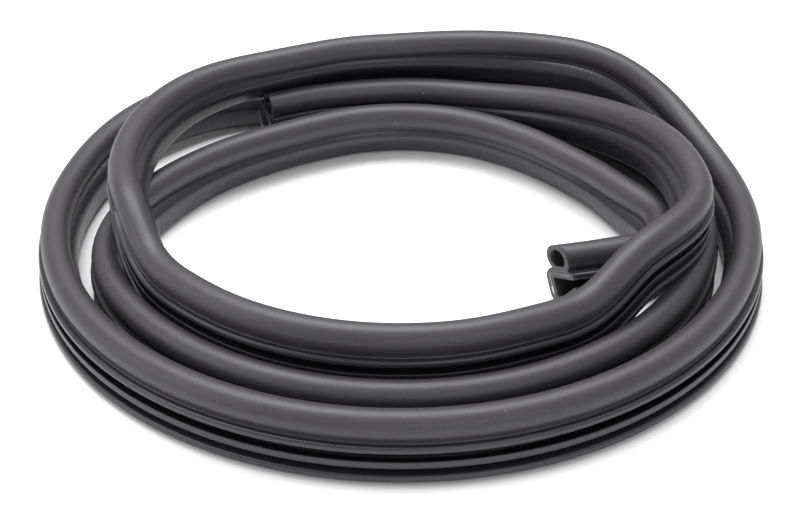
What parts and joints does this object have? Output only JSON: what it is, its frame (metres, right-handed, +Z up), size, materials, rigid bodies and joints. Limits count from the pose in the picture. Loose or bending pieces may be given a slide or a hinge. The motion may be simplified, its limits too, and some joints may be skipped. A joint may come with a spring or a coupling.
{
  "type": "cabinet joining seal",
  "caption": "Length of dark rubber clip seal with a hollow bulb on a steel-cored channel with an inner fin, laid in a loose coil, its cut end free inside.",
  "frame": {"origin": "middle of the coil's box, at the level of the floor that it lies on", "axes": "+Z up from the floor, +X towards the side where the cut end lies inside the coil, -Y towards the front of the picture"},
  "size_m": [0.2594, 0.2392, 0.0449],
  "materials": {
    "rubber": "matte",
    "steel": "satin"
  },
  "bodies": {
    "root": {"seal_profile": "rubber", "steel_carrier": "steel"}
  },
  "joints": []
}
